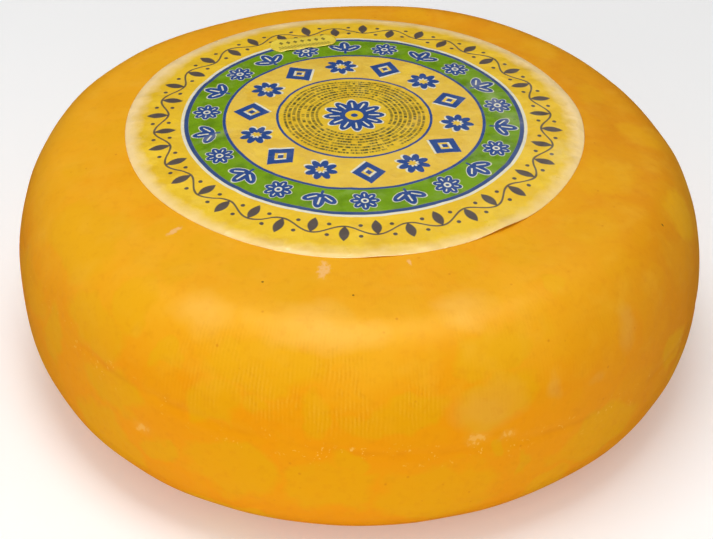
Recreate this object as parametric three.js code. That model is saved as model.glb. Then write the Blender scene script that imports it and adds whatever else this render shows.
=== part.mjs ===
// A whole wheel of semi-hard cheese in a waxy yellow coating, lying on its flat face,
// with a round paper label on its crowned top and a small date sticker on the label.
// Millimetres, +Z up. The origin is on the floor under the middle of the wheel.

import * as THREE from 'three';

// The wheel's outline
const WHEEL_RADIUS = 130;
const WHEEL_HEIGHT = 97;
const BELLY_HEIGHT = 44; // the widest level, above the floor
const FOOT_RADIUS = 80; // edge of the flat face that it lies on
const SHOULDER_RADIUS = 108; // where the crowned top turns down into the shoulder
const SHOULDER_DROP = 6.6; // how far the top has come down there from its middle

// How far each curve of the side runs on in its first direction
const SHOULDER_REACH = 11.7;
const BELLY_REACH_UP = 24.8;
const BELLY_REACH_DOWN = 32;
const FOOT_REACH = 43;

// Slow waves that make the wheel uneven: the number of lobes round the wheel, their height,
// and the bearing of one crest in degrees
const OUTLINE_WAVES = [
  { lobes: 2, height: 0.55, crest: 6 },
  { lobes: 3, height: 0.45, crest: 29 },
  { lobes: 4, height: 0.5, crest: -29 },
];
const SHOULDER_WAVES = [
  { lobes: 1, height: 0.8, crest: -33 },
  { lobes: 2, height: 1.6, crest: -72 },
  { lobes: 3, height: 0.55, crest: -51 },
  { lobes: 4, height: 0.9, crest: -29 },
];
const WAVY_FROM_LABEL = 1.5; // the top is even under the label and this far past its edge
const WAVY_RADIUS = 110; // the shoulder's waves are at their full height from here on

// The line that the mould's lid left round the side, which leans
const MOULD_LINE_HEIGHT = 52.5;
const MOULD_LINE_LEAN = 10.9;
const MOULD_LINE_HIGH_SIDE = 172; // degrees
const MOULD_LINE_DEPTH = 0.8;
const MOULD_LINE_HALF_WIDTH = 2;
const LEAN_REACH = 34; // the rings lean less and less over this height above and below the line

// The label
const LABEL_RADIUS = 86.3;
const LABEL_THICKNESS = 0.4;
const LABEL_CENTRE = { x: -2.7, y: 8.2 };
const LABEL_EDGE_WAVES = [
  { lobes: 3, height: 0.35, crest: 20 },
  { lobes: 7, height: 0.2, crest: 5 },
];

// The date sticker, placed from the label's centre
const STICKER_LENGTH = 27;
const STICKER_WIDTH = 11;
const STICKER_THICKNESS = 0.3;
const STICKER_END_BULGE = 2.8; // how far the middle of each end stands past its corners
const STICKER_CENTRE = { x: -21.2, y: 59.5 };
const STICKER_TURN = 16; // degrees
const CLEARANCE = 0.3; // gap under the label and under the sticker

const COATING = { color: '#e9a217', roughness: 0.35 };
const PRINTED_PAPER = { color: '#e8c030', roughness: 0.5 };
const STICKER_PAPER = { color: '#efd24a', roughness: 0.55 };

// How finely the pieces are divided
const WHEEL_SIDES = 128;
const SIDE_RINGS = 30;
const FOOT_RINGS = 2;
const CROWN_RINGS = [97, 88, 78, 58, 39, 19, 0]; // radii
const DENSE_POINTS = 400;
const LABEL_SIDES = 96;
const LABEL_RINGS = 5;
const STICKER_LENGTH_PARTS = 14;
const STICKER_WIDTH_PARTS = 8;

const radians = THREE.MathUtils.degToRad;

function waves(list, angle) {
  return list.reduce(
    (sum, wave) => sum + wave.height * Math.cos(wave.lobes * (angle - radians(wave.crest))),
    0,
  );
}

// Height of the crowned top at a distance from the wheel's axis.
function crownHeight(radius) {
  return WHEEL_HEIGHT - SHOULDER_DROP * (radius / SHOULDER_RADIUS) ** 2;
}

// The side in section, from the foot's edge out to the belly and in again to the shoulder.
function sideCurve() {
  const shoulderHeight = crownHeight(SHOULDER_RADIUS);
  const crownSlope = (2 * SHOULDER_DROP) / SHOULDER_RADIUS;
  const foot = new THREE.CubicBezierCurve(
    new THREE.Vector2(FOOT_RADIUS, 0),
    new THREE.Vector2(FOOT_RADIUS + FOOT_REACH, 0),
    new THREE.Vector2(WHEEL_RADIUS, BELLY_HEIGHT - BELLY_REACH_DOWN),
    new THREE.Vector2(WHEEL_RADIUS, BELLY_HEIGHT),
  );
  const shoulder = new THREE.CubicBezierCurve(
    new THREE.Vector2(WHEEL_RADIUS, BELLY_HEIGHT),
    new THREE.Vector2(WHEEL_RADIUS, BELLY_HEIGHT + BELLY_REACH_UP),
    new THREE.Vector2(SHOULDER_RADIUS + SHOULDER_REACH, shoulderHeight - crownSlope * SHOULDER_REACH),
    new THREE.Vector2(SHOULDER_RADIUS, shoulderHeight),
  );
  const side = new THREE.CurvePath();
  side.add(foot);
  side.add(shoulder);
  return side;
}

const densePoints = sideCurve().getSpacedPoints(DENSE_POINTS);

// Radius of the even side at a height.
function sideRadius(height) {
  const level = THREE.MathUtils.clamp(height, densePoints[0].y, densePoints.at(-1).y);
  const above = Math.max(1, densePoints.findIndex((point) => point.y >= level));
  const high = densePoints[above];
  const low = densePoints[above - 1];
  const share = (level - low.y) / (high.y - low.y);
  return low.x + share * (high.x - low.x);
}

// Heights of the rings up the side, with three of them on the mould line.
function ringHeights() {
  const line = [-1, 0, 1].map((step) => MOULD_LINE_HEIGHT + step * MOULD_LINE_HALF_WIDTH);
  const rest = sideCurve()
    .getSpacedPoints(SIDE_RINGS)
    .map((point) => point.y)
    .filter((height) => Math.abs(height - MOULD_LINE_HEIGHT) > 2 * MOULD_LINE_HALF_WIDTH);
  return [...rest, ...line].sort((a, b) => a - b);
}

function mouldLineHeight(angle) {
  return MOULD_LINE_HEIGHT + MOULD_LINE_LEAN * Math.cos(angle - radians(MOULD_LINE_HIGH_SIDE));
}

// A point of the side: the rings lean with the mould line, which is pressed in a little.
function leaningSidePoint(height, angle) {
  const nearness = 1 - Math.abs(height - MOULD_LINE_HEIGHT) / LEAN_REACH;
  const lineHeight = mouldLineHeight(angle);
  const leaning = height + (lineHeight - MOULD_LINE_HEIGHT) * nearness;
  const fromLine = (leaning - lineHeight) / MOULD_LINE_HALF_WIDTH;
  const radius = sideRadius(leaning) - MOULD_LINE_DEPTH * Math.exp(-fromLine * fromLine);
  return { radius, height: leaning };
}

// Outline from the middle of the foot, round the side, to the middle of the top.
function wheelOutline() {
  const foot = [];
  for (let ring = 0; ring < FOOT_RINGS; ring += 1) {
    foot.push(new THREE.Vector2((FOOT_RADIUS * ring) / FOOT_RINGS, 0));
  }
  const side = ringHeights().map((height) => new THREE.Vector2(sideRadius(height), height));
  const crown = CROWN_RINGS.map((radius) => new THREE.Vector2(radius, crownHeight(radius)));
  return [...foot, ...side, ...crown];
}

// How far the label reaches from the wheel's axis at a bearing.
function labelReach(angle) {
  const along = LABEL_CENTRE.x * Math.cos(angle) + LABEL_CENTRE.y * Math.sin(angle);
  const away = Math.hypot(LABEL_CENTRE.x, LABEL_CENTRE.y);
  return along + Math.sqrt(LABEL_RADIUS ** 2 - away ** 2 + along ** 2);
}

function wheelGeometry() {
  const geometry = new THREE.LatheGeometry(wheelOutline(), WHEEL_SIDES);
  geometry.rotateX(Math.PI / 2);
  const position = geometry.attributes.position;
  for (let i = 0; i < position.count; i += 1) {
    let height = position.getZ(i);
    let radius = Math.hypot(position.getX(i), position.getY(i));
    const angle = Math.atan2(position.getY(i), position.getX(i));
    if (Math.abs(height - MOULD_LINE_HEIGHT) < LEAN_REACH) {
      ({ radius, height } = leaningSidePoint(height, angle));
    }
    const outward = THREE.MathUtils.smoothstep(radius, FOOT_RADIUS, WHEEL_RADIUS);
    const upward =
      THREE.MathUtils.smoothstep(radius, labelReach(angle) + WAVY_FROM_LABEL, WAVY_RADIUS) *
      THREE.MathUtils.clamp((height - BELLY_HEIGHT) / (WHEEL_HEIGHT - BELLY_HEIGHT), 0, 1);
    radius += outward * waves(OUTLINE_WAVES, angle);
    height += upward * waves(SHOULDER_WAVES, angle);
    position.setXYZ(i, radius * Math.cos(angle), radius * Math.sin(angle), height);
  }
  return geometry;
}

// Lifts a thin flat piece, made round the origin, on to the crowned top.
function layOnTop(geometry, centre, lift) {
  const position = geometry.attributes.position;
  for (let i = 0; i < position.count; i += 1) {
    const x = position.getX(i) + centre.x;
    const y = position.getY(i) + centre.y;
    position.setXYZ(i, x, y, position.getZ(i) + crownHeight(Math.hypot(x, y)) + lift);
  }
  return geometry;
}

function labelGeometry() {
  const outline = [];
  for (let ring = 0; ring <= LABEL_RINGS; ring += 1) {
    outline.push(new THREE.Vector2((LABEL_RADIUS * ring) / LABEL_RINGS, 0));
  }
  for (let ring = LABEL_RINGS; ring >= 0; ring -= 1) {
    outline.push(new THREE.Vector2((LABEL_RADIUS * ring) / LABEL_RINGS, LABEL_THICKNESS));
  }
  const geometry = new THREE.LatheGeometry(outline, LABEL_SIDES);
  geometry.rotateX(Math.PI / 2);
  const position = geometry.attributes.position;
  for (let i = 0; i < position.count; i += 1) {
    const radius = Math.hypot(position.getX(i), position.getY(i));
    const angle = Math.atan2(position.getY(i), position.getX(i));
    const uneven = 1 + (waves(LABEL_EDGE_WAVES, angle) * radius) / LABEL_RADIUS ** 2;
    position.setXY(i, position.getX(i) * uneven, position.getY(i) * uneven);
  }
  return layOnTop(geometry, LABEL_CENTRE, CLEARANCE);
}

function stickerGeometry() {
  const half = STICKER_WIDTH / 2;
  const geometry = new THREE.BoxGeometry(
    STICKER_LENGTH,
    STICKER_WIDTH,
    STICKER_THICKNESS,
    STICKER_LENGTH_PARTS,
    STICKER_WIDTH_PARTS,
    1,
  );
  geometry.translate(0, 0, STICKER_THICKNESS / 2);
  const position = geometry.attributes.position;
  for (let i = 0; i < position.count; i += 1) {
    const across = position.getY(i) / half;
    const length = 1 - (2 * STICKER_END_BULGE * across * across) / STICKER_LENGTH;
    position.setX(i, position.getX(i) * length);
  }
  geometry.rotateZ(radians(STICKER_TURN));
  const centre = { x: LABEL_CENTRE.x + STICKER_CENTRE.x, y: LABEL_CENTRE.y + STICKER_CENTRE.y };
  return layOnTop(geometry, centre, 2 * CLEARANCE + LABEL_THICKNESS);
}

function piece(name, geometry, look) {
  geometry.computeVertexNormals();
  const material = new THREE.MeshStandardMaterial({ ...look, metalness: 0 });
  const mesh = new THREE.Mesh(geometry, material);
  mesh.name = name;
  return mesh;
}

const group = new THREE.Group();
group.add(piece('wheel', wheelGeometry(), COATING));
group.add(piece('label', labelGeometry(), PRINTED_PAPER));
group.add(piece('date_sticker', stickerGeometry(), STICKER_PAPER));

export default group;
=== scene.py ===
"""Looks of a whole cheese wheel with a waxy yellow coating, a round paper label and a date sticker.

Lengths are in millimetres unless a name says otherwise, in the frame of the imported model: +Z up,
the origin on the floor under the middle of the wheel. make_mesh turns them into metres.
"""

import itertools
import math

import bpy
import numpy as np
from mathutils import Matrix, Vector


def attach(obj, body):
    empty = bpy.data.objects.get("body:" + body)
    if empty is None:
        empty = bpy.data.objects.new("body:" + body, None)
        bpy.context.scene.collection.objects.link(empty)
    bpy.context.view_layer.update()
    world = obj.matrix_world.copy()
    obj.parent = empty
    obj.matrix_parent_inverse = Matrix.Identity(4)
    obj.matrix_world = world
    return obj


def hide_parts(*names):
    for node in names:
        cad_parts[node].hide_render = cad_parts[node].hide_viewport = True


MM = 0.001

# The wheel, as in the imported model
WHEEL_RADIUS = 130
WHEEL_HEIGHT = 97
BELLY_HEIGHT = 44
FOOT_RADIUS = 80
SHOULDER_RADIUS = 108
SHOULDER_DROP = 6.6
SHOULDER_REACH = 11.7
BELLY_REACH_UP = 24.8
BELLY_REACH_DOWN = 32
FOOT_REACH = 43
WAVY_FROM_LABEL = 1.5
WAVY_RADIUS = 110

# Lobes round the wheel, height, bearing of one crest in degrees
OUTLINE_WAVES = ((2, 0.55, 6), (3, 0.45, 29), (4, 0.5, -29))
SHOULDER_WAVES = ((1, 0.8, -33), (2, 1.6, -72), (3, 0.55, -51), (4, 0.9, -29))

MOULD_LINE_HEIGHT = 52.5
MOULD_LINE_LEAN = 10.9
MOULD_LINE_HIGH_SIDE = 172
MOULD_LINE_DEPTH = 0.8
MOULD_LINE_HALF_WIDTH = 2
LEAN_REACH = 34

# Lumps of the rind: height, size and seed of the noise
LUMPS = ((0.5, 34, 3), (0.26, 16, 4))
SCUFF_DEPTH = 0.4

# Over what height above the floor, and what distance from the label, the relief of the rind sets in
RELIEF_FROM_FLOOR = (0, 7)
RELIEF_FROM_LABEL = (0.5, 16)

# Where the edge of the top is eased into the shoulder
EASED_FROM = 88
EASING_STEP = 0.5
EASING_PASSES = 110
EASED_HEIGHTS = (62, 80)

# The label and the sticker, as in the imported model
LABEL_RADIUS = 86.3
LABEL_CENTRE = (-2.7, 8.2)
LABEL_EDGE_WAVES = ((3, 0.35, 20), (7, 0.2, 5))
STICKER_LENGTH = 27
STICKER_WIDTH = 11
STICKER_END_BULGE = 2.8
STICKER_CENTRE = (-21.2, 59.5)
STICKER_TURN = 16
STICKER_THICKNESS = 0.2

# How finely the pieces are divided
WHEEL_COLUMNS = 480
SIDE_STEP = 1.1
FLAT_STEP = 6
TOP_STEP = 1.5
FINE_UNDER_LABEL = 12
CURVE_POINTS = 300
LABEL_COLUMNS = 360
LABEL_STEP = 1.0
LABEL_EDGE_STEPS = (2.6, 2.0, 1.5, 1.0, 0.6, 0.3, 0.0)  # from the edge inward
STICKER_STEP = 0.5

# The camera
CAMERA_TARGET = (-0.8, 0, 32.2)
CAMERA_DISTANCE = 741
CAMERA_ELEVATION = 35.84
CAMERA_ROLL = 1.07
CAMERA_LENS = 95.4  # for Blender's 36 mm sensor

# Marks on the coating: bearing in degrees, height above the floor, radius of the mark
SCUFFS = ((-124.4, 41.3, 4.4), (-71.7, 51.9, 5.0), (-66.5, 50.5, 3.6))
DARK_SPECKS = ((-109.4, 91.7, 0.55), (-91.0, 91.6, 0.5), (-22.5, 85.3, 0.6))

# Painted highlights on the shoulder: bearing in degrees, height, half width and half height
HIGHLIGHT_SPOTS = ((-117, 86.5, 13, 8), (-71, 90, 11, 7), (-95, 88, 24, 6))

# Milky patches of painted sheen lower down, given in the same way
SHEEN_SPOTS = (
    (-70, 63, 17, 11),
    (-58, 63, 4, 5),
    (-50, 60, 4.5, 4),
    (-43, 74, 6, 12),
)

# Pale smears of coating beside the label: bearing in degrees, distance from the wheel's axis, half length
SMEARS = ((-98, 85.5, 7.5), (-78, 81.8, 2.6), (-135.8, 89.5, 5.0))

# Rounded ochre patches on the side: bearing in degrees, height, half width and half height
FRONT_PATCHES = (
    (-136, 69, 17, 8),
    (-130, 82, 8, 11),
    (-149, 85, 20, 9),
    (-121, 74, 4.5, 6),
    (-112, 64, 10, 7.5),
    (-105, 65, 6, 4.5),
    (-105, 78, 20, 9),
    (-95, 64, 6.5, 7),
    (-84, 63, 16, 6.5),
    (-68, 64, 14.5, 9.5),
    (-68, 80, 14, 7),
    (-109, 37, 18, 13),
    (-94, 34, 14, 12),
    (-78, 29, 23, 14),
    (-49, 33, 21, 10),
    (-63, 36, 4, 5.5),
    (-68, 44, 4, 3),
    (-58, 19, 10, 7),
    (-131, 50, 14, 9.5),
    (-133, 26, 17, 13),
    (-148, 51, 8, 12),
    (-121, 35, 8, 6.5),
    (-91, 47, 6, 5),
    (-54, 90, 5, 8),
    (-14, 80, 12, 10),
    (-110, 12, 17, 6),
    (-28, 44, 9, 8),
)

# Ochre patches on the ring of cheese beside the label: bearing in degrees, distance from the axis, radius
TOP_PATCHES = (
    (-138, 90, 8),
    (-127, 91, 9),
    (-115, 90, 8),
    (-127, 104, 8),
    (-170, 106, 7),
    (179, 93, 9),
    (-102, 97, 9),
    (-67, 87, 7),
    (-52, 89, 9),
    (-35, 97, 11),
    (-14, 92, 13),
    (7, 107, 8),
    (24, 97, 9),
    (46, 104, 9),
    (78, 101, 7),
    (112, 104, 9),
    (146, 98, 8),
)
BACK_PATCHES_FROM = -20
BACK_PATCHES_TO = 202
BACK_PATCHES = 34
BACK_PATCH_HEIGHTS = (20, 52, 34, 70)


def waves(parts, angle):
    """Sum of slow waves round a circle at angles in radians."""
    total = np.zeros_like(angle)
    for lobes, height, crest in parts:
        total += height * np.cos(lobes * (angle - math.radians(crest)))
    return total


def turned(x, y, angle):
    """Coordinates along and across a direction at an angle in radians."""
    return x * math.cos(angle) + y * math.sin(angle), y * math.cos(angle) - x * math.sin(angle)


def smoothstep(low, high, value):
    share = np.clip((value - low) / (high - low), 0, 1)
    return share * share * (3 - 2 * share)


def bump(distance, width):
    """A smooth hill, 1 at no distance and nearly 0 beyond twice the width."""
    return np.exp(-((distance / width) ** 2))


def soft_noise(points, size, seed):
    """Smooth noise between -1 and 1 at points, with hills about `size` across."""
    side = 32
    lattice = np.random.default_rng(seed).uniform(-1, 1, (side, side, side))
    scaled = points / size
    cell = np.floor(scaled).astype(int)
    share = scaled - cell
    share = share * share * (3 - 2 * share)
    total = np.zeros(points.shape[:-1])
    for corner in itertools.product((0, 1), repeat=3):
        weight = np.prod(np.where(corner, share, 1 - share), axis=-1)
        index = (cell + corner) % side
        total += weight * lattice[index[..., 0], index[..., 1], index[..., 2]]
    return total


def crown_height(radius):
    """Height of the crowned top at a distance from the wheel's axis."""
    return WHEEL_HEIGHT - SHOULDER_DROP * (radius / SHOULDER_RADIUS) ** 2


def bezier(points, count):
    """Points along a cubic Bezier curve."""
    t = np.linspace(0, 1, count)[:, None]
    a, b, c, d = (np.array(p, float) for p in points)
    return (1 - t) ** 3 * a + 3 * (1 - t) ** 2 * t * b + 3 * (1 - t) * t**2 * c + t**3 * d


def side_outline():
    """Radius and height of many points from the foot's edge up to the shoulder."""
    shoulder = crown_height(SHOULDER_RADIUS)
    slope = 2 * SHOULDER_DROP / SHOULDER_RADIUS
    belly = (WHEEL_RADIUS, BELLY_HEIGHT)
    foot_curve = bezier(
        (
            (FOOT_RADIUS, 0),
            (FOOT_RADIUS + FOOT_REACH, 0),
            (WHEEL_RADIUS, BELLY_HEIGHT - BELLY_REACH_DOWN),
            belly,
        ),
        CURVE_POINTS,
    )
    shoulder_curve = bezier(
        (
            belly,
            (WHEEL_RADIUS, BELLY_HEIGHT + BELLY_REACH_UP),
            (SHOULDER_RADIUS + SHOULDER_REACH, shoulder - slope * SHOULDER_REACH),
            (SHOULDER_RADIUS, shoulder),
        ),
        CURVE_POINTS,
    )
    return np.vstack([foot_curve, shoulder_curve[1:]])


def evenly_along(outline, step):
    """Points about `step` apart along an outline, its two ends kept."""
    length = np.concatenate([[0], np.cumsum(np.hypot(*np.diff(outline, axis=0).T))])
    count = max(2, int(round(length[-1] / step)) + 1)
    at = np.linspace(0, length[-1], count)
    return np.stack([np.interp(at, length, outline[:, 0]), np.interp(at, length, outline[:, 1])], -1)


def eased_outline():
    """The side outline carried on over the edge of the top, with the corner between the two eased."""
    top = np.arange(SHOULDER_RADIUS - EASING_STEP, EASED_FROM, -EASING_STEP)
    top = np.append(top, EASED_FROM)
    outline = np.vstack([side_outline(), np.stack([top, crown_height(top)], -1)])
    outline = evenly_along(outline, EASING_STEP)
    share = smoothstep(*EASED_HEIGHTS, outline[1:-1, 1:]) / 2
    for _ in range(EASING_PASSES):
        between = (outline[:-2] + outline[2:]) / 2
        outline[1:-1] += share * (between - outline[1:-1])
    return outline


SIDE = eased_outline()


def mould_line_height(angle):
    return MOULD_LINE_HEIGHT + MOULD_LINE_LEAN * np.cos(angle - math.radians(MOULD_LINE_HIGH_SIDE))


def label_reach(angle):
    """How far the label reaches from the wheel's axis at a bearing."""
    along = LABEL_CENTRE[0] * np.cos(angle) + LABEL_CENTRE[1] * np.sin(angle)
    return along + np.sqrt(LABEL_RADIUS**2 - math.hypot(*LABEL_CENTRE) ** 2 + along**2)


def even_wheel_point(radius, height, angle):
    """A point of the uneven wheel, without its fine relief, from a point of the even outline."""
    nearness = np.clip(1 - np.abs(height - MOULD_LINE_HEIGHT) / LEAN_REACH, 0, 1)
    leaning = height + (mould_line_height(angle) - MOULD_LINE_HEIGHT) * nearness
    on_side = np.interp(leaning, SIDE[:, 1], SIDE[:, 0])
    radius = np.where(nearness > 0, on_side, radius)
    height = leaning
    outward = smoothstep(FOOT_RADIUS, WHEEL_RADIUS, radius)
    share_up = np.clip((height - BELLY_HEIGHT) / (WHEEL_HEIGHT - BELLY_HEIGHT), 0, 1)
    upward = smoothstep(label_reach(angle) + WAVY_FROM_LABEL, WAVY_RADIUS, radius) * share_up
    radius = radius + outward * waves(OUTLINE_WAVES, angle)
    height = height + upward * waves(SHOULDER_WAVES, angle)
    return radius, height


def place_on_side(bearing, height):
    """The point of the side, shoulder or top ring at a bearing in degrees and a height."""
    angle = math.radians(bearing)
    radius = float(np.interp(height, SIDE[:, 1], SIDE[:, 0]))
    if height > crown_height(EASED_FROM):
        radius = SHOULDER_RADIUS * math.sqrt((WHEEL_HEIGHT - height) / SHOULDER_DROP)
    return Vector((radius * math.cos(angle), radius * math.sin(angle), height))


def place_on_top(bearing, from_axis):
    angle = math.radians(bearing)
    return Vector((from_axis * math.cos(angle), from_axis * math.sin(angle), crown_height(from_axis)))


def make_mesh(name, points, faces):
    """A smooth-shaded mesh object from points in millimetres."""
    mesh = bpy.data.meshes.new(name)
    mesh.from_pydata((np.asarray(points) * MM).tolist(), [], faces)
    mesh.polygons.foreach_set("use_smooth", [True] * len(mesh.polygons))
    mesh.update()
    piece = bpy.data.objects.new(name, mesh)
    bpy.context.collection.objects.link(piece)
    return piece


def tube_faces(rows, columns):
    """Quads of a grid whose columns run round, with its normals outward for rows from low to high."""
    faces = []
    for row in range(rows - 1):
        low = row * columns
        high = low + columns
        for column in range(columns):
            after = (column + 1) % columns
            faces.append((low + column, low + after, high + after, high + column))
    return faces


def fan_faces(ring_first, columns, tip, upward):
    """Triangles from a ring of points to one tip."""
    faces = []
    for column in range(columns):
        a = ring_first + column
        b = ring_first + (column + 1) % columns
        faces.append((a, b, tip) if upward else (b, a, tip))
    return faces


def wheel_outline():
    """Even outline rows from the middle of the foot, round the side, to the middle of the top."""
    foot_radius = np.arange(FLAT_STEP, FOOT_RADIUS, FLAT_STEP)
    foot = np.stack([foot_radius, np.zeros_like(foot_radius)], -1)
    side = evenly_along(SIDE, SIDE_STEP)
    top_ring = np.arange(EASED_FROM - TOP_STEP, LABEL_RADIUS - FINE_UNDER_LABEL, -TOP_STEP)
    top_inner = np.arange(top_ring[-1] - FLAT_STEP, 1, -FLAT_STEP)
    top = np.concatenate([top_ring, top_inner])
    return np.vstack([foot, side, np.stack([top, crown_height(top)], -1)])


def outward_directions(outline):
    """Unit normals of an outline that runs up the side, as radial and upward shares."""
    along = np.gradient(outline, axis=0)
    normal = np.stack([along[:, 1], -along[:, 0]], -1)
    return normal / np.linalg.norm(normal, axis=1, keepdims=True)


def wheel_relief(points, angle):
    """How far each point of the side stands out from the even surface."""
    lumps = sum(height * soft_noise(points, size, seed) for height, size, seed in LUMPS)
    from_line = points[..., 2] - mould_line_height(angle)
    depth = MOULD_LINE_DEPTH * np.clip(0.3 + 0.5 * soft_noise(points, 20, 5), 0, 1)
    groove = -depth * bump(from_line, MOULD_LINE_HALF_WIDTH)
    total = lumps + groove
    for bearing, height, radius in SCUFFS:
        away = np.linalg.norm(points - np.array(place_on_side(bearing, height)), axis=-1)
        total -= SCUFF_DEPTH * bump(away, 0.6 * radius)
    return total


def make_wheel():
    outline = wheel_outline()
    normal = outward_directions(outline)
    angle = np.linspace(0, 2 * math.pi, WHEEL_COLUMNS, endpoint=False)[None, :]
    rows = len(outline)
    even_radius = np.repeat(outline[:, :1], WHEEL_COLUMNS, 1)
    even_height = np.repeat(outline[:, 1:], WHEEL_COLUMNS, 1)
    angle = np.repeat(angle, rows, 0)
    radius, height = even_wheel_point(even_radius, even_height, angle)
    points = np.stack([radius * np.cos(angle), radius * np.sin(angle), height], -1)
    over_floor = smoothstep(*RELIEF_FROM_FLOOR, height)
    past_label = smoothstep(*RELIEF_FROM_LABEL, radius - label_reach(angle))
    free = np.where(height < BELLY_HEIGHT, over_floor, past_label)
    relief = free * wheel_relief(points, angle)
    radius = radius + relief * normal[:, :1]
    height = height + relief * normal[:, 1:]
    points = np.stack([radius * np.cos(angle), radius * np.sin(angle), height], -1)
    grid = points.reshape(-1, 3)
    foot_tip = len(grid)
    top_tip = foot_tip + 1
    grid = np.vstack([grid, [[0, 0, 0], [0, 0, WHEEL_HEIGHT]]])
    faces = tube_faces(rows, WHEEL_COLUMNS)
    faces += fan_faces(0, WHEEL_COLUMNS, foot_tip, upward=False)
    faces += fan_faces((rows - 1) * WHEEL_COLUMNS, WHEEL_COLUMNS, top_tip, upward=True)
    return make_mesh("cheese_wheel", grid, faces)


def crease_lines(seed, count, reach):
    """Straight creases: middle, direction in radians, half length, half width and height."""
    draw = np.random.default_rng(seed)
    lines = []
    for _ in range(count):
        spread = reach * math.sqrt(draw.uniform(0, 1))
        bearing = draw.uniform(0, 2 * math.pi)
        middle = (spread * math.cos(bearing), spread * math.sin(bearing))
        lean = draw.normal(math.radians(CREASE_LEAN), 0.5)
        lines.append((middle, lean, draw.uniform(6, 26), draw.uniform(0.8, 1.5), draw.uniform(0.08, 0.24)))
    return lines


CREASE_LEAN = 38
CREASES = crease_lines(seed=11, count=46, reach=LABEL_RADIUS - 4)
RIGHT_CREASES = (
    ((47, 8), math.radians(100), 20, 1.1, 0.22),
    ((52, -8), math.radians(62), 18, 1.0, 0.20),
    ((60, 20), math.radians(128), 16, 1.2, 0.18),
    ((38, -38), math.radians(20), 18, 1.0, 0.16),
    ((66, -14), math.radians(80), 14, 0.9, 0.16),
)

# Fine wrinkles of the label: height, size and seed of the noise
WRINKLES = ((0.45, 19, 21), (0.16, 8, 22))

# Places where the label's edge has come away: bearing from its centre in degrees, height, half width
EDGE_LIFTS = ((-52, 1.1, 9), (-84, 0.45, 7), (8, 0.5, 12), (152, 0.35, 10))


def label_wrinkles(x, y):
    """Height of the label's wrinkles, x and y from its centre."""
    flat = np.stack([x, y, np.zeros_like(x)], -1)
    total = sum(height * np.abs(soft_noise(flat, size, seed)) for height, size, seed in WRINKLES)
    for (mid_x, mid_y), lean, half_length, half_width, height in CREASES + list(RIGHT_CREASES):
        along, across = turned(x - mid_x, y - mid_y, lean)
        total += height * bump(along, half_length) * bump(across, half_width)
    return total


def label_top(x, y):
    """Height of the label's upper side, x and y from its centre."""
    radius = np.hypot(x, y)
    angle = np.arctan2(y, x)
    edge = LABEL_RADIUS + waves(LABEL_EDGE_WAVES, angle)
    inside = edge - radius
    cheese = crown_height(np.hypot(x + LABEL_CENTRE[0], y + LABEL_CENTRE[1]))
    skin = 0.12 + 0.3 * smoothstep(0, 2.2, inside) + smoothstep(0, 6, inside) * label_wrinkles(x, y)
    return cheese + skin + label_lift(angle, inside)


def label_lift(angle, inside):
    """How far the label's edge has come away from the cheese."""
    total = np.zeros_like(angle)
    for bearing, height, half_width in EDGE_LIFTS:
        turn = np.angle(np.exp(1j * (angle - math.radians(bearing))))
        total += height * bump(turn * LABEL_RADIUS, half_width) * bump(np.maximum(inside, 0), 4.5)
    return total


def label_bottom(x, y):
    radius = np.hypot(x, y)
    angle = np.arctan2(y, x)
    inside = LABEL_RADIUS + waves(LABEL_EDGE_WAVES, angle) - radius
    cheese = crown_height(np.hypot(x + LABEL_CENTRE[0], y + LABEL_CENTRE[1]))
    return cheese + 0.05 + label_lift(angle, inside)


def make_label():
    angle = np.linspace(0, 2 * math.pi, LABEL_COLUMNS, endpoint=False)
    edge = LABEL_RADIUS + waves(LABEL_EDGE_WAVES, angle)
    steps = np.arange(LABEL_STEP, LABEL_RADIUS - 3, LABEL_STEP) / LABEL_RADIUS
    edge_steps = 1 - np.array(LABEL_EDGE_STEPS) / LABEL_RADIUS
    shares_up = np.concatenate([steps, edge_steps])
    shares_down = np.concatenate([edge_steps[::-1], steps[::-6]])
    rows = []
    for shares, surface in ((shares_down[::-1], label_bottom), (shares_up[::-1], label_top)):
        for share in shares:
            x = share * edge * np.cos(angle)
            y = share * edge * np.sin(angle)
            rows.append(np.stack([x + LABEL_CENTRE[0], y + LABEL_CENTRE[1], surface(x, y)], -1))
    grid = np.vstack(rows)
    under_tip = len(grid)
    centre = np.zeros(1)
    tips = [
        [LABEL_CENTRE[0], LABEL_CENTRE[1], label_bottom(centre, centre)[0]],
        [LABEL_CENTRE[0], LABEL_CENTRE[1], label_top(centre, centre)[0]],
    ]
    grid = np.vstack([grid, tips])
    faces = tube_faces(len(rows), LABEL_COLUMNS)
    faces += fan_faces(0, LABEL_COLUMNS, under_tip, upward=False)
    faces += fan_faces((len(rows) - 1) * LABEL_COLUMNS, LABEL_COLUMNS, under_tip + 1, upward=True)
    return make_mesh("paper_label", grid, faces)


def sticker_lift(along, across):
    """How far the sticker stands off the label: its front edge and one end have come up a little."""
    front = smoothstep(0.35, 1.0, -across) * (0.25 + 0.2 * np.sin(along * 9 + 1))
    end = smoothstep(0.7, 1.0, along) * 0.3
    return front + end


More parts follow.
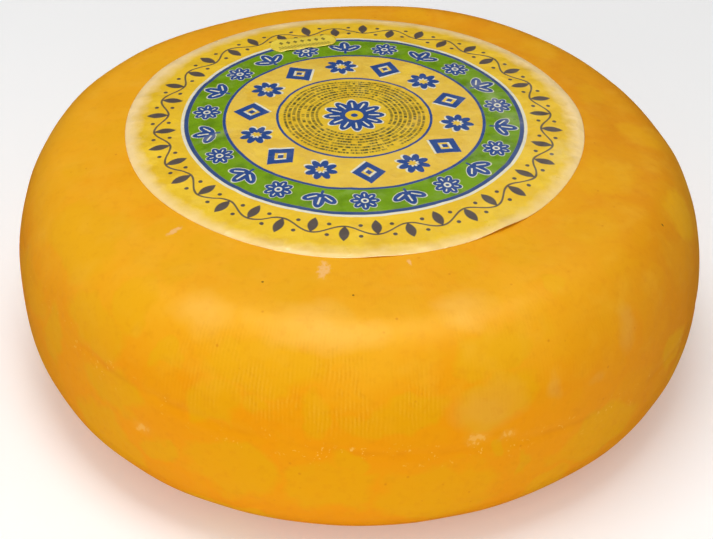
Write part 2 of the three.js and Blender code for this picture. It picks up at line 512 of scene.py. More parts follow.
def make_sticker():
    columns = int(STICKER_LENGTH / STICKER_STEP) + 1
    rows = int(STICKER_WIDTH / STICKER_STEP) + 1
    along, across = np.meshgrid(np.linspace(-1, 1, columns), np.linspace(-1, 1, rows))
    half_length = STICKER_LENGTH / 2 - STICKER_END_BULGE * across**2
    u = along * half_length
    v = across * STICKER_WIDTH / 2 + 0.12 * np.sin(along * 14) * np.abs(across)
    x, y = turned(u, v, math.radians(-STICKER_TURN))
    x = x + STICKER_CENTRE[0]
    y = y + STICKER_CENTRE[1]
    under = label_top(x, y) + 0.06 + sticker_lift(along, across)
    low = np.stack([x + LABEL_CENTRE[0], y + LABEL_CENTRE[1], under], -1).reshape(-1, 3)
    high = low + [0, 0, STICKER_THICKNESS]
    faces = []
    count = len(low)
    for row in range(rows - 1):
        for column in range(columns - 1):
            a = row * columns + column
            b, c, d = a + 1, a + columns + 1, a + columns
            faces.append((a, d, c, b))
            faces.append((a + count, b + count, c + count, d + count))
    rim = list(range(columns))
    rim += [r * columns + columns - 1 for r in range(1, rows)]
    rim += [(rows - 1) * columns + c for c in range(columns - 2, -1, -1)]
    rim += [r * columns for r in range(rows - 2, 0, -1)]
    for here, there in zip(rim, rim[1:] + rim[:1]):
        faces.append((here, there, there + count, here + count))
    return make_mesh("date_sticker_paper", np.vstack([low, high]), faces)


class Term:
    """A number that a material works out at each point, built up with the usual signs."""

    def __init__(self, tree, socket):
        self.tree = tree
        self.socket = socket

    def join(self, operation, *others, clamp=False):
        node = self.tree.nodes.new("ShaderNodeMath")
        node.operation = operation
        node.use_clamp = clamp
        for slot, value in zip(node.inputs, (self, *others)):
            if isinstance(value, Term):
                self.tree.links.new(value.socket, slot)
            else:
                slot.default_value = value
        return Term(self.tree, node.outputs[0])

    def __add__(self, other):
        return self.join("ADD", other)

    def __sub__(self, other):
        return self.join("SUBTRACT", other)

    def __mul__(self, other):
        return self.join("MULTIPLY", other)

    def __truediv__(self, other):
        return self.join("DIVIDE", other)

    def __pow__(self, other):
        return self.join("POWER", other)

    def __rsub__(self, other):
        return (self * -1.0) + other

    __radd__ = __add__
    __rmul__ = __mul__

    def clamped(self, factor=1.0):
        """This times a factor, kept between 0 and 1."""
        return self.join("MULTIPLY", factor, clamp=True)

    def size(self):
        return self.join("ABSOLUTE")

    def nearest(self):
        return self.join("ROUND")

    def below(self, limit, edge):
        """1 where this is under the limit and 0 over it, with a soft edge of the given width."""
        return ((limit - self) / edge + 0.5).clamped()

    def within(self, low, high, edge):
        return self.below(high, edge) * (1.0 - self.below(low, edge))

    def least(self, other):
        return self.join("MINIMUM", other)

    def most(self, other):
        return self.join("MAXIMUM", other)


def distance(x, y):
    """How far a place is from where both its coordinates are 0."""
    return (x * x + y * y).join("SQRT")


def oval(along, across, half_length, half_width):
    """The square of the distance from an oval's middle, 1 on its edge."""
    return (along / half_length) ** 2.0 + (across / half_width) ** 2.0


class Surface:
    """A procedural material in the making: its nodes, its place coordinates and its layers of colour."""

    def __init__(self, name):
        self.material = bpy.data.materials.new(name)
        self.material.use_nodes = True
        self.tree = self.material.node_tree
        self.shader = self.tree.nodes["Principled BSDF"]
        self.place = self.node("ShaderNodeTexCoord").outputs["Object"]
        self.colour = None

    def node(self, kind, **settings):
        made = self.tree.nodes.new(kind)
        for key, value in settings.items():
            setattr(made, key, value)
        return made

    def link(self, source, target):
        self.tree.links.new(source.socket if isinstance(source, Term) else source, target)

    def xyz(self):
        """The three coordinates in millimetres."""
        parts = self.node("ShaderNodeSeparateXYZ")
        self.link(self.place, parts.inputs[0])
        return [Term(self.tree, part) * (1 / MM) for part in parts.outputs]

    def vector(self, x, y, z):
        made = self.node("ShaderNodeCombineXYZ")
        for value, slot in zip((x, y, z), made.inputs):
            if isinstance(value, Term):
                self.link(value, slot)
            else:
                slot.default_value = value
        return made.outputs[0]

    def noise(self, size, detail=2.0, roughness=0.5, at=None, offset=0.0):
        """Cloudy noise between 0 and 1 with clouds about `size` millimetres across."""
        made = self.node("ShaderNodeTexNoise")
        made.inputs["Scale"].default_value = 1 / (size * MM)
        made.inputs["Detail"].default_value = detail
        made.inputs["Roughness"].default_value = roughness
        self.link(self.moved(at or self.place, offset), made.inputs["Vector"])
        return Term(self.tree, made.outputs["Fac"])

    def moved(self, socket, offset):
        if not offset:
            return socket
        made = self.node("ShaderNodeVectorMath", operation="ADD")
        made.inputs[1].default_value = (offset, offset * 0.7, offset * 1.3)
        self.link(socket, made.inputs[0])
        return made.outputs[0]

    def bent(self, amount, size):
        """The place coordinates pushed about by noise, by up to `amount` millimetres."""
        noise = self.noise(size).socket.node
        even = self.node("ShaderNodeVectorMath", operation="SUBTRACT")
        even.inputs[1].default_value = (0.5, 0.5, 0.5)
        self.link(noise.outputs["Color"], even.inputs[0])
        push = self.node("ShaderNodeVectorMath", operation="MULTIPLY_ADD")
        push.inputs[1].default_value = (amount * MM * 2,) * 3
        self.link(even.outputs[0], push.inputs[0])
        self.link(self.place, push.inputs[2])
        return push.outputs[0]

    def cells(self, size, at=None, feature="F1", output="Distance"):
        made = self.node("ShaderNodeTexVoronoi", feature=feature)
        made.inputs["Scale"].default_value = 1 / (size * MM)
        self.link(at or self.place, made.inputs["Vector"])
        return Term(self.tree, made.outputs[output])

    def ellipsoid(self, at, middle, half_width, half_height):
        """0 in the middle of an upright ellipsoid and 1 on its skin."""
        scale = [1 / (half * MM) for half in (half_width, half_width, half_height)]
        apart = self.node("ShaderNodeVectorMath", operation="MULTIPLY_ADD")
        self.link(at, apart.inputs[0])
        apart.inputs[1].default_value = scale
        apart.inputs[2].default_value = [-c * MM * k for c, k in zip(middle, scale)]
        length = self.node("ShaderNodeVectorMath", operation="LENGTH")
        self.link(apart.outputs[0], length.inputs[0])
        return Term(self.tree, length.outputs["Value"])

    def streak(self, middle, bearing, half_length):
        """0 in the middle of a mark that points away from the wheel's axis, and 1 at its edge."""
        x, y, _ = self.xyz()
        out, across = turned(x - middle.x, y - middle.y, math.radians(bearing))
        return oval(out, across, half_length, 0.5 * half_length).join("SQRT")

    def lay(self, colour, amount=None):
        """Lays a colour over what is there already, where `amount` is 1. The first colour covers all."""
        if self.colour is None:
            made = self.node("ShaderNodeRGB")
            made.outputs[0].default_value = linear(colour)
            self.colour = made.outputs[0]
            return
        mix = self.node("ShaderNodeMix", data_type="RGBA")
        self.link(self.colour, mix.inputs["A"])
        mix.inputs["B"].default_value = linear(colour)
        self.link(amount, mix.inputs["Factor"])
        self.colour = mix.outputs["Result"]

    def finish(self, roughness, relief=None, relief_height=0.1):
        """Joins colour, roughness and relief to the shader; relief_height is in millimetres."""
        self.link(self.colour, self.shader.inputs["Base Color"])
        if isinstance(roughness, Term):
            self.link(roughness, self.shader.inputs["Roughness"])
        else:
            self.shader.inputs["Roughness"].default_value = roughness
        if relief is not None:
            made = self.node("ShaderNodeBump")
            made.inputs["Strength"].default_value = 1.0
            made.inputs["Distance"].default_value = relief_height * MM
            self.link(relief, made.inputs["Height"])
            self.link(made.outputs[0], self.shader.inputs["Normal"])
        return self.material


def linear(colour):
    """A display colour, 0 to 255 each, as the linear colour that nodes take."""
    parts = []
    for value in colour:
        share = value / 255
        parts.append(share / 12.92 if share <= 0.04045 else ((share + 0.055) / 1.055) ** 2.4)
    return (*parts, 1.0)


# Display colours, 0 to 255
RIND_TOP = (244, 172, 28)
RIND_SIDE = (240, 153, 0)
RIND_PATCH = (233, 164, 0)
PATCH_HIGH = (242, 176, 26)
# Pale tone of the rind, also the painted highlight on the cloth's threads
RIND_PALE_AND_HIGHLIGHT = (246, 184, 52)
RIND_DEEP = (214, 118, 6)
# Painted shade of the rind, laid on the right side and low down
RIND_PAINTED_SHADE = (226, 142, 4)
# Painted shade between the cloth's threads
THREAD_GAP_SHADE = (206, 132, 4)
SCUFF_PALE = (248, 194, 100)
FLECK_PALE = (250, 192, 84)
SMEAR_PALE = (248, 196, 136)
# Painted highlight on the shoulder
SPOT_HIGHLIGHT = (254, 198, 92)
# Painted sheen lower on the side
SPOT_SHEEN = (230, 180, 92)
SPECK_DARK = (96, 52, 12)

RIND_SPECULAR = 0.1
RIND_SPECULAR_TINT = (1.0, 0.9, 0.38, 1.0)

# The cloth's threads, with painted highlight on their crests and painted shade between them: pitches, and
# the bearing, half width and edge of each stretch in degrees
RIB_PITCH = 1.5
BEAD_PITCH = 1.3
STRONG_THREADS = (-97, 20, 14)
FAINT_THREADS = (-80, 34, 26)


def back_patches():
    """Patches like those in front, scattered over the rest of the side, some running together."""
    draw = np.random.default_rng(8)
    patches = []
    for number in range(BACK_PATCHES):
        share = (number + draw.uniform(-0.8, 0.8)) / (BACK_PATCHES - 1)
        bearing = BACK_PATCHES_FROM + share * (BACK_PATCHES_TO - BACK_PATCHES_FROM)
        height = BACK_PATCH_HEIGHTS[number % len(BACK_PATCH_HEIGHTS)] + draw.uniform(-7, 7)
        half_width = draw.uniform(6, 25)
        patches.append((bearing, height, half_width, half_width * draw.uniform(0.4, 0.65)))
    return patches


def nearest_patch(surface, bent, patches):
    """0 in the middle of the nearest of the patches and 1 on its edge."""
    nearest = None
    for middle, half_width, half_height in patches:
        apart = surface.ellipsoid(bent, middle, half_width, half_height)
        nearest = apart if nearest is None else nearest.least(apart)
    return nearest


def patch_cover(surface):
    """1 on the ochre patches and 0 between them, with soft, wandering edges; fainter on the top and back."""
    bent = surface.bent(9, 15)
    front, back = (
        [(place_on_side(bearing, height), *halves) for bearing, height, *halves in patches]
        for patches in (FRONT_PATCHES, back_patches())
    )
    top = [(place_on_top(bearing, from_axis), half, 3 * half) for bearing, from_axis, half in TOP_PATCHES]
    ragged = surface.noise(4, detail=2.0, offset=13.0) * 0.3 - 0.15
    on_front = (nearest_patch(surface, bent, front) + ragged).below(1.0, 0.36)
    on_back = (nearest_patch(surface, bent, back) + ragged * 2.0).below(0.95, 0.6)
    on_top = (nearest_patch(surface, bent, top) + ragged).below(0.95, 0.5)
    wander = surface.noise(10, detail=2.0, offset=6.0) * 0.16
    between = surface.cells(26, at=surface.bent(14, 20), feature="DISTANCE_TO_EDGE")
    cells = ((between - wander) / 0.12).clamped()
    strength = surface.noise(20, detail=2.0, offset=10.0) * 0.8 + 0.45
    cover = on_front.most(on_back * 0.75).most(on_top * 0.55).most(cells * 0.2)
    return (cover * strength).clamped()


def coated_rind():
    surface = Surface("coated_rind")
    x, y, z = surface.xyz()
    surface.lay(RIND_TOP)
    lean = math.radians(MOULD_LINE_HIGH_SIDE)
    line = (x * math.cos(lean) + y * math.sin(lean)) * (MOULD_LINE_LEAN / WHEEL_RADIUS) + MOULD_LINE_HEIGHT
    above_line = z - line

    side = (z + surface.noise(24, detail=2.0) * 26.0).below(86.0, 18.0)
    surface.lay(RIND_SIDE, side)
    clouds = (surface.noise(26, detail=3.0, offset=0.4) - 0.46).clamped(4.0)
    surface.lay(RIND_SIDE, clouds * 0.5)
    # Painted shade: the right side, away from the lamps, is darkened
    surface.lay(RIND_PAINTED_SHADE, (x + y * 0.5).within(48.0, 400.0, 70.0) * 0.7)
    cover = patch_cover(surface)
    # Painted shade: the lowest part of the side, near the floor, is darkened
    surface.lay(RIND_PAINTED_SHADE, z.below(16.0, 32.0) * 0.5)
    surface.lay(RIND_PATCH, cover * 0.95)
    surface.lay(PATCH_HIGH, cover * z.within(72.0, 200.0, 18.0) * 0.75)
    bent = surface.bent(7, 14)
    # Painted highlights on the shoulder and painted sheen lower on the side
    for spots, colour, strength in ((HIGHLIGHT_SPOTS, SPOT_HIGHLIGHT, 0.4), (SHEEN_SPOTS, SPOT_SHEEN, 0.22)):
        for bearing, height, half_width, half_height in spots:
            apart = surface.ellipsoid(bent, place_on_side(bearing, height), half_width, half_height)
            surface.lay(colour, (1.0 - apart).clamped(1.5) * strength)
    pale = (surface.noise(9, detail=3.0, offset=1.7) - 0.5).clamped(4.0)
    surface.lay(RIND_PALE_AND_HIGHLIGHT, pale * z.within(66.0, 200.0, 30.0) * 0.3)
    mottle = surface.noise(3.4, detail=3.0, roughness=0.6, offset=14.0) - 0.52
    surface.lay(RIND_DEEP, mottle.clamped(5.0) * 0.14)
    pores_here = (surface.noise(16, detail=1.0, offset=16.0) - 0.45).clamped(6.0)
    surface.lay(RIND_DEEP, surface.cells(6.5).below(0.075, 0.05) * pores_here * 0.5)

    threads, gaps, threads_here = cloth_threads(surface, x, y, z)
    # Painted highlight on the threads' crests and painted shade in the gaps between them
    surface.lay(RIND_PALE_AND_HIGHLIGHT, threads * threads_here * 0.42)
    surface.lay(THREAD_GAP_SHADE, gaps * threads_here * 0.24)
    wander = surface.noise(15, detail=2.0, offset=11.0)
    line_here = (wander - 0.42).clamped(4.0)
    surface.lay(RIND_DEEP, above_line.size().below(0.5, 2.6) * line_here * 0.38)
    scratches = pale_marks(surface, above_line)

    relief = surface.noise(6, detail=2.0, offset=1.0) * 0.55 + surface.noise(1.8, detail=2.0) * 0.14
    relief = relief + (threads - gaps) * threads_here * 0.18
    roughness = surface.noise(14, detail=2.0) * 0.16 + 0.36 + scratches * 0.2
    surface.shader.inputs["Specular IOR Level"].default_value = RIND_SPECULAR
    surface.shader.inputs["Specular Tint"].default_value = RIND_SPECULAR_TINT
    return surface.finish(roughness, relief, relief_height=0.3)


def cloth_threads(surface, x, y, z):
    """Fine upright threads that the mould's cloth printed on the front: threads, gaps and where they are."""
    bearing = y.join("ARCTAN2", x)
    waver = surface.noise(12, detail=1.0) * 2.4
    turn = (bearing * WHEEL_RADIUS + waver) * (2 * math.pi / RIB_PITCH)
    ridge = turn.join("SINE") * 0.5 + 0.5
    beads = ((z + waver) * (2 * math.pi / BEAD_PITCH) + turn * 0.5).join("SINE") * 0.5 + 0.5
    uneven = (surface.noise(2.4, detail=2.0, offset=15.0) - 0.3).clamped(2.6)
    threads = ridge * (beads * 0.3 + 0.7) * uneven
    gaps = (1.0 - ridge) * (1.0 - beads * 0.3) * uneven
    strong, faint = (
        (bearing - math.radians(middle)).size().below(math.radians(half), math.radians(edge))
        for middle, half, edge in (STRONG_THREADS, FAINT_THREADS)
    )
    clouds = (surface.noise(13, detail=2.0, offset=3.0) - 0.34).clamped(4.0)
    here = (strong * z.within(59.0, 87.0, 10.0)).most(faint * z.within(62.0, 92.0, 12.0) * 0.3)
    return threads, gaps, here * clouds


def pale_marks(surface, above_line):
    """Scuffs, smears, dark specks and pale flecks along the mould's line; returns where it is rough."""
    rough = None
    torn_noise = surface.noise(1.9, detail=4.0, roughness=0.65)
    for bearing, height, reach in SCUFFS:
        apart = surface.ellipsoid(surface.bent(2, 3), place_on_side(bearing, height), reach, 0.6 * reach)
        haze = (1.3 - apart).clamped() * torn_noise
        surface.lay(SCUFF_PALE, haze * 0.25)
        torn = (torn_noise * 3.2 - apart - 1.0).clamped(3.0)
        surface.lay(SCUFF_PALE, torn * 0.42)
        rough = torn if rough is None else rough + torn
    for bearing, from_axis, half_length in SMEARS:
        near = 1.0 - surface.streak(place_on_top(bearing, from_axis), bearing, half_length)
        torn = (near + torn_noise * 2.4 - 1.55).clamped(3.0)
        surface.lay(SMEAR_PALE, torn * near.clamped(1.8) * 0.6)
    for bearing, height, reach in DARK_SPECKS:
        apart = surface.ellipsoid(surface.place, place_on_side(bearing, height), reach, 3)
        surface.lay(SPECK_DARK, (1.0 - apart).clamped(2.5) * 0.85)
    chosen = (surface.noise(7, detail=1.0, offset=2.0) - 0.48).clamped(9.0)
    specks = surface.cells(2.1, at=surface.bent(2.4, 2)).below(0.2, 0.12) * chosen
    surface.lay(FLECK_PALE, specks * (above_line + 1.0).size().below(4.5, 5.0) * 0.8)
    return rough


# Label print: radii and sizes from the label's centre
LABEL_DESIGN_TURN = 7
PRINT_EDGE = 0.22
LABEL_SPECULAR = 0.36
MARGIN_INNER = 80.5
WHITE_RING = (63.8, 65.0)
OUTER_BLUE = (62.2, 63.8)
GREEN_BAND = (49.4, 62.2)
INNER_BLUE = (48.2, 49.4)
CENTRE_RING = (28.4, 29.4)
FIGURES_RADIUS = 38.8
FIGURES_ROUND = 14
FIGURES_START = 0.25  # radians
LOZENGE_HALVES = (7.0, 6.2)
STAR_POINTS = 8
STAR_ROOT = 3.6
STAR_REACH = 2.6
DROP_EDGE = 0.6
MOTIF_RADIUS = 55.8
MOTIFS_ROUND = 22
MOTIFS_START = 0.1  # radians
FLOWER_PETALS = 8
FLOWER_ROOT = 3.7
FLOWER_REACH = 1.6
SPRIG_FORK = 2.4
SPRIG_SPREAD = 56  # degrees
MIDDLE_LEAF = (4.3, 2.1)  # half length and half width
MIDDLE_LEAF_OFFSET = 1.2
SIDE_LEAF = (3.7, 1.95)
SIDE_LEAF_OFFSET = 3.6
VINE_RADIUS = 72.6
VINE_WAVES = 20
VINE_SWING = 2.4
VINE_HALF_WIDTH = 0.42
LEAF_OFFSET = 1.7
LEAF_HALF_LENGTH = 4.1
LEAF_HALF_WIDTH = 1.8
BERRY_OFFSET = 3.0
BERRY_RADIUS = 0.8
FINE_RINGS = (13.6, 26.6)
LINE_PITCH = 1.75
CENTRE_PETALS = 12
PETAL_ROOT = 8.0
PETAL_REACH = 3.4
EYE_RADIUS = 3.4
CORE_RADIUS = 1.3
CENTRE_EDGE = 0.7

# Painted glare streaks over the print: middle, lean in radians, half length and half width
GLARE_STREAKS = (
    (53, 17, 1.9, 9, 2.2),
    (58, 3, 2.2, 7, 3.2),
    (47, 28, 0.9, 6, 2.4),
    (76, -18, 1.3, 8, 3.0),
    (-52, -14, 0.6, 8, 2.0),
)

# Display colours of the paper and the inks, 0 to 255
PAPER_YELLOW = (244, 200, 40)
# Deep paper tone, also the painted shade on the label's facets
PAPER_DEEP_AND_SHADE = (222, 167, 18)
PAPER_LIGHT = (252, 212, 60)
PAPER_CREAM = (239, 199, 74)
CENTRE_YELLOW = (235, 195, 42)
MARGIN_PALE = (255, 222, 158)
INK_BLUE = (42, 76, 142)
RING_INK = (54, 80, 132)
INK_NAVY = (40, 48, 78)
INK_GREEN = (119, 160, 6)
INK_GREEN_DEEP = (88, 128, 4)
# White ink, also laid as painted glare over the print
WHITE_INK_AND_GLARE = (232, 227, 202)
INK_TEXT = (84, 82, 40)


def folded(angle, count, shift=0.0):
    """Angle from the nearest of `count` places round a circle, and the number of that place."""
    step = 2 * math.pi / count
    number = ((angle - shift) / step).nearest()
    return angle - shift - number * step, number


def odd(number):
    """1 for an odd whole number and 0 for an even one."""
    return 1.0 - (number / 2.0 - (number / 2.0).nearest()).size().below(0.25, 0.01)


def local_axes(radius, angle, count, shift, centre_radius):
    """Coordinates outward and sideways from the nearest of `count` places on a ring."""
    off, number = folded(angle, count, shift)
    return radius * off.join("COSINE") - centre_radius, radius * off.join("SINE"), number


def printed_label():
    surface = Surface("printed_label")
    world_x, world_y, _ = surface.xyz()
    from_x = world_x - LABEL_CENTRE[0]
    from_y = world_y - LABEL_CENTRE[1]
    x, y = turned(from_x, from_y, math.radians(LABEL_DESIGN_TURN))
    radius = distance(x, y)
    angle = y.join("ARCTAN2", x)

    surface.lay(PAPER_YELLOW)
    surface.lay(PAPER_CREAM, radius.within(CENTRE_RING[0], INNER_BLUE[0], PRINT_EDGE))
    surface.lay(CENTRE_YELLOW, radius.below(CENTRE_RING[0], PRINT_EDGE))
    paper_blotches(surface)
    pale_margin(surface, radius, y)
    vine(surface, radius, angle)
    green_band(surface, radius, angle)
    figure_ring(surface, radius, angle)
    fine_rings(surface, radius, angle)
    centre_flower(surface, radius, angle)
    surface.lay(WHITE_INK_AND_GLARE, radius.within(*WHITE_RING, PRINT_EDGE))
    surface.lay(RING_INK, radius.within(*OUTER_BLUE, PRINT_EDGE))
    for ring in (INNER_BLUE, CENTRE_RING):
        surface.lay(INK_BLUE, radius.within(*ring, PRINT_EDGE))
    painted_glare(surface, from_x, from_y)

    grain = surface.noise(0.5, detail=2.0) * 0.1 + surface.noise(3.5, detail=3.0) * 0.4
    crumple = surface.cells(13, at=surface.bent(9, 11)) * 1.6 + surface.cells(7, at=surface.bent(6, 8)) * 0.5
    roughness = surface.noise(8, detail=2.0) * 0.2 + 0.22
    surface.shader.inputs["Specular IOR Level"].default_value = LABEL_SPECULAR
    return surface.finish(roughness, grain + crumple, relief_height=0.36)


def paper_blotches(surface):
    """Deeper and lighter blotches where the coating has soaked in more or less, with painted shade on some
    facets of the crinkled paper.
    """
    deep = (surface.noise(9, detail=3.0, roughness=0.6) - 0.5).clamped(6.0)
    surface.lay(PAPER_DEEP_AND_SHADE, deep * 0.25)
    # Painted shade: some facets of the crinkled paper are darkened
    facet_shade = surface.cells(11, at=surface.bent(8, 9), output="Color")
    surface.lay(PAPER_DEEP_AND_SHADE, (facet_shade - 0.3).clamped(1.4) * 0.34)
    light = surface.noise(12, detail=3.0, roughness=0.55, offset=2.5) - 0.53
    surface.lay(PAPER_LIGHT, light.clamped(7.0) * 0.5)


def painted_glare(surface, x, y):
    """Painted glare on the coating over the print: a faint whitish haze and whitish streaks."""
    torn = surface.noise(6, detail=3.0, roughness=0.65, offset=7.0)
    surface.lay(WHITE_INK_AND_GLARE, (torn - 0.54).clamped(5.0) * 0.05)
    for mid_x, mid_y, lean, half_length, half_width in GLARE_STREAKS:
        along, across = turned(x - mid_x, y - mid_y, lean)
        apart = oval(along, across, half_length, half_width).join("SQRT")
        glare_streak = (1.35 - apart + (torn - 0.5) * 1.6).clamped(0.8)
        surface.lay(WHITE_INK_AND_GLARE, glare_streak * 0.16)


def pale_margin(surface, radius, y):
    """The pale margin, where the coating covers the label's edge; it is painted wider and paler on the far
    side to stand in for light.
    """
    feather = surface.noise(5, detail=3.0, offset=5.0) * 6.0 - 3.0
    # Painted light: the far side of the margin is made wider and paler
    far = ((y + 70.0) / 70.0).clamped()
    margin = ((radius + feather + far * 1.5 - MARGIN_INNER) / 5.0).clamped()
    surface.lay(MARGIN_PALE, margin * (far * 0.4 + 0.58))


def vine(surface, radius, angle):
    """A thin vine that winds round the outer band, with a pointed leaf in each bend and berries between."""
    swing = (angle * float(VINE_WAVES)).join("COSINE") * VINE_SWING
    surface.lay(INK_NAVY, (radius - VINE_RADIUS - swing).size().below(VINE_HALF_WIDTH, PRINT_EDGE) * 0.85)
    u, v, number = local_axes(radius, angle, 2 * VINE_WAVES, 0.0, VINE_RADIUS)
    outward = u * (odd(number) * 2.0 - 1.0) - LEAF_OFFSET
    leaf = (v.size() / LEAF_HALF_WIDTH + (outward / LEAF_HALF_LENGTH) ** 2.0).below(1.0, 0.2)
    surface.lay(INK_NAVY, leaf * 0.9)
    u, v, _ = local_axes(radius, angle, 2 * VINE_WAVES, math.pi / (2 * VINE_WAVES), VINE_RADIUS)
    berry = distance(u.size() - BERRY_OFFSET, v).below(BERRY_RADIUS, PRINT_EDGE)
    surface.lay(INK_NAVY, berry * 0.9)


def green_band(surface, radius, angle):
    """The green band with flowers and sprigs by turns."""
    band = radius.within(*GREEN_BAND, PRINT_EDGE)
    surface.lay(INK_GREEN, band)
    mottle = (surface.noise(7, detail=3.0, offset=9.0) - 0.48).clamped(5.0)
    surface.lay(INK_GREEN_DEEP, band * mottle * 0.7)
    u, v, number = local_axes(radius, angle, MOTIFS_ROUND, MOTIFS_START, MOTIF_RADIUS)
    sprig_here = odd(number)
    flower(surface, u, v, 1.0 - sprig_here)
    sprig(surface, u, v, sprig_here)


def flower(surface, u, v, here):
    """A blue flower of eight petals with a few white marks and a thin white edge."""
    rho = distance(u, v)
    wave = v.join("ARCTAN2", u) * (FLOWER_PETALS / 2)
    petal = wave.join("COSINE").size() * FLOWER_REACH + FLOWER_ROOT
    surface.lay(WHITE_INK_AND_GLARE, (rho - petal).below(0.28, PRINT_EDGE) * here)
    surface.lay(INK_BLUE, (rho - petal).below(0.0, PRINT_EDGE) * here)
    vein = wave.join("SINE").size().below(0.3, 0.12) * rho.within(2.4, 4.0, PRINT_EDGE)
    surface.lay(WHITE_INK_AND_GLARE, vein * here)
    surface.lay(WHITE_INK_AND_GLARE, rho.within(0.7, 1.4, PRINT_EDGE) * here)


def sprig(surface, u, v, here):
    """Three broad blue leaves with white midribs, on a short stem."""
    side = v.size()
    along, across = turned(u + SPRIG_FORK, side, math.radians(SPRIG_SPREAD))
    along = along - SIDE_LEAF_OFFSET
    leaf = oval(u - MIDDLE_LEAF_OFFSET, v, *MIDDLE_LEAF).least(oval(along, across, *SIDE_LEAF))
    surface.lay(WHITE_INK_AND_GLARE, leaf.below(1.25, 0.2) * here)
    surface.lay(INK_BLUE, leaf.below(1.0, 0.2) * here)
    rib = side.below(0.35, 0.15) * u.within(-0.6, 3.6, PRINT_EDGE)
    wing_rib = across.size().below(0.32, 0.15) * along.size().below(1.9, PRINT_EDGE)
    surface.lay(WHITE_INK_AND_GLARE, rib.most(wing_rib) * here)
    stem = side.below(0.5, 0.15) * u.within(-5.0, -2.2, PRINT_EDGE)
    surface.lay(INK_BLUE, stem * here)


def figure_ring(surface, radius, angle):
    """A ring of lozenges and stars by turns, in blue with a white drop edge."""
    u, v, number = local_axes(radius, angle, FIGURES_ROUND, FIGURES_START, FIGURES_RADIUS)
    for shift, colour in ((DROP_EDGE, WHITE_INK_AND_GLARE), (0.0, INK_BLUE)):
        surface.lay(colour, lozenge_or_star(u + shift, v + shift, odd(number)))


def fine_rings(surface, radius, angle):
    """Rings of fine broken strokes round the centre flower."""
    number = (radius / LINE_PITCH).nearest()
    off = (radius - number * LINE_PITCH).size()
    along = angle * number * (LINE_PITCH * MM)
    words = surface.noise(3.2, detail=1.0, at=surface.vector(along, number * (17 * MM), 0.3))
    strokes = surface.noise(0.8, detail=1.0, at=surface.vector(along, number * (17 * MM), 0.9))
    ink = words.below(0.64, 0.06) * (strokes * 3.0 - 0.85).clamped()
    surface.lay(INK_TEXT, off.below(0.56, 0.28) * ink * radius.within(*FINE_RINGS, 0.3))


def centre_flower(surface, radius, angle):
    """A twelve-petalled blue flower in the middle, with a white edge and a yellow eye."""
    wave = angle * (CENTRE_PETALS / 2)
    petal = wave.join("COSINE").size() * PETAL_REACH + PETAL_ROOT
    for reach, colour in ((CENTRE_EDGE, WHITE_INK_AND_GLARE), (0.0, INK_BLUE)):
        surface.lay(colour, (radius - petal).below(reach, PRINT_EDGE))
    vein = wave.join("SINE").size().below(0.26, 0.1) * radius.within(5.4, 9.4, PRINT_EDGE)
    surface.lay(WHITE_INK_AND_GLARE, vein)
    surface.lay(CENTRE_YELLOW, radius.below(EYE_RADIUS, PRINT_EDGE))
    surface.lay(INK_BLUE, radius.below(CORE_RADIUS, PRINT_EDGE))


def lozenge_or_star(u, v, star_here):
    """A lozenge with a hollow and a core, or where `star_here` is 1 an eight-pointed star."""
    reach = u.size() / LOZENGE_HALVES[0] + v.size() / LOZENGE_HALVES[1]
    lozenge = reach.within(0.46, 1.0, 0.05).most(reach.below(0.22, 0.05))
    rho = distance(u, v)
    point = (v.join("ARCTAN2", u) * (STAR_POINTS / 2)).join("COSINE").size()
    star_reach = rho / (point * STAR_REACH + STAR_ROOT)
    pointed = star_reach.within(0.36, 1.0, 0.06)
    return lozenge * (1.0 - star_here) + pointed * star_here


STICKER_YELLOW = (240, 212, 60)
STICKER_INK = (96, 86, 36)
MARK_PITCH = 2.9
MARK_HALVES = (0.95, 1.5)
MARKS_UP = 1.8
STRIPE_PITCH = 1.25
STRIPES_HIGH = (-3.6, -1.2)
STRIPES_HALF_LENGTH = 10.5


def sticker_paper():
    surface = Surface("date_sticker_paper")
    world_x, world_y, _ = surface.xyz()
    from_x = world_x - (LABEL_CENTRE[0] + STICKER_CENTRE[0])
    from_y = world_y - (LABEL_CENTRE[1] + STICKER_CENTRE[1])
    u, v = turned(from_x, from_y, math.radians(STICKER_TURN))
    surface.lay(STICKER_YELLOW)
    surface.lay(PAPER_DEEP_AND_SHADE, (surface.noise(6, detail=2.0) - 0.5).clamped(4.0) * 0.3)
    cell = (u / MARK_PITCH).nearest()
    du = (u - cell * MARK_PITCH).size()
    mark = (du / MARK_HALVES[0] + (v - MARKS_UP).size() / MARK_HALVES[1]).below(1.0, 0.2)
    surface.lay(STICKER_INK, mark * cell.size().below(3.5, 0.1) * 0.8)
    slant = (u + v * 0.7) / STRIPE_PITCH
    stripe = (slant - slant.nearest()).size().below(0.26, 0.15)
    here = v.within(*STRIPES_HIGH, 0.3) * u.size().below(STRIPES_HALF_LENGTH, 0.3)
    surface.lay(STICKER_INK, stripe * here * 0.75)
    grain = surface.noise(0.6, detail=2.0)
    return surface.finish(0.42, grain, relief_height=0.03)


FLOOR_HALF = 3000
FLOOR_WHITE = (250, 250, 250)
FLOOR_GREY = (244, 244, 244)
FLOOR_GLOW = 0.13
WORLD_GLOW = 0.42


def plain_floor():
    surface = Surface("studio_floor")
    surface.lay(FLOOR_WHITE)
    surface.lay(FLOOR_GREY, surface.noise(60, detail=2.0) * 0.3)
    surface.shader.inputs["Emission Color"].default_value = (1, 1, 1, 1)
    surface.shader.inputs["Emission Strength"].default_value = FLOOR_GLOW
    return surface.finish(0.7)


def make_floor():
    half = FLOOR_HALF
    points = [(-half, -half, 0), (half, -half, 0), (half, half, 0), (-half, half, 0)]
    floor = make_mesh("studio_floor", points, [(0, 1, 2, 3)])
    floor.data.materials.append(plain_floor())
    floor.visible_glossy = False


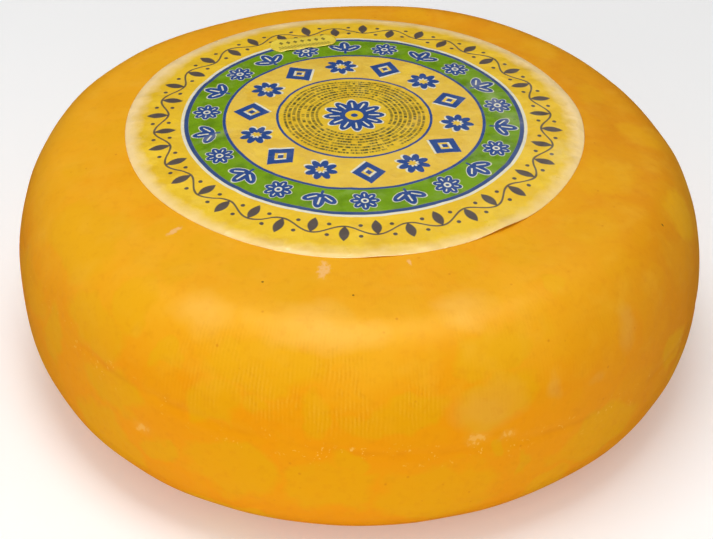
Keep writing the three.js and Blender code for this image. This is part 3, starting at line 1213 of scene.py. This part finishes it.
def make_camera():
    elevation = math.radians(CAMERA_ELEVATION)
    roll = math.radians(CAMERA_ROLL)
    back = Vector((0, -math.cos(elevation), math.sin(elevation)))
    level_right = Vector((1, 0, 0))
    level_up = back.cross(level_right)
    right = level_right * math.cos(roll) + level_up * math.sin(roll)
    up = level_up * math.cos(roll) - level_right * math.sin(roll)
    camera = bpy.data.objects.new("camera", bpy.data.cameras.new("camera"))
    camera.data.lens = CAMERA_LENS
    place = (Vector(CAMERA_TARGET) + back * CAMERA_DISTANCE) * MM
    turn = Matrix((right, up, back)).transposed().to_4x4()
    camera.matrix_world = Matrix.Translation(place) @ turn
    bpy.context.collection.objects.link(camera)
    bpy.context.scene.camera = camera


def make_area_light(name, place, target, size, watts, mirrored=True, lighting=True):
    """A rectangular light; `mirrored` is its part in the gloss and `lighting` in the plain light."""
    light = bpy.data.objects.new(name, bpy.data.lights.new(name, "AREA"))
    light.data.shape = "RECTANGLE"
    light.data.size = size[0] * MM
    light.data.size_y = size[1] * MM
    light.data.energy = watts
    light.visible_glossy = mirrored
    light.visible_diffuse = lighting
    light.location = Vector(place) * MM
    light.rotation_euler = (Vector(target) - Vector(place)).to_track_quat("-Z", "Y").to_euler()
    bpy.context.collection.objects.link(light)


def make_lights():
    middle = (0, 0, 60)
    make_area_light("overhead", (-60, -60, 900), middle, (560, 330), 3.1, mirrored=False)
    make_area_light("front", (-240, -1050, 520), middle, (1700, 420), 5.0, mirrored=False)
    make_area_light("gloss", (-20, -230, 900), middle, (960, 680), 27.0, lighting=False)
    make_area_light("sheen", (420, 900, 760), middle, (600, 300), 0.6, lighting=False)
    world = bpy.data.worlds.new("studio")
    world.use_nodes = True
    world.node_tree.nodes["Background"].inputs["Color"].default_value = (1, 1, 1, 1)
    world.node_tree.nodes["Background"].inputs["Strength"].default_value = WORLD_GLOW
    world.cycles_visibility.glossy = False
    bpy.context.scene.world = world


def dress(piece, material, node):
    piece.data.materials.append(material)
    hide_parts(node)
    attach(piece, "root")


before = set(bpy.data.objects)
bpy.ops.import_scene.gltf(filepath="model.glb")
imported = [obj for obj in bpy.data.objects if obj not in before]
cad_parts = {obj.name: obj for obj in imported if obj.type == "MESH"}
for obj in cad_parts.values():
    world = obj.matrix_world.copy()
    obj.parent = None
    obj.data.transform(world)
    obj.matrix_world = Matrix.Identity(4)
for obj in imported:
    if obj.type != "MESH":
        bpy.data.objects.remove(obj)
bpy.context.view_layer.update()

bpy.context.scene.view_settings.view_transform = "Standard"
make_camera()
make_lights()
make_floor()
dress(make_wheel(), coated_rind(), "wheel")
dress(make_label(), printed_label(), "label")
dress(make_sticker(), sticker_paper(), "date_sticker")
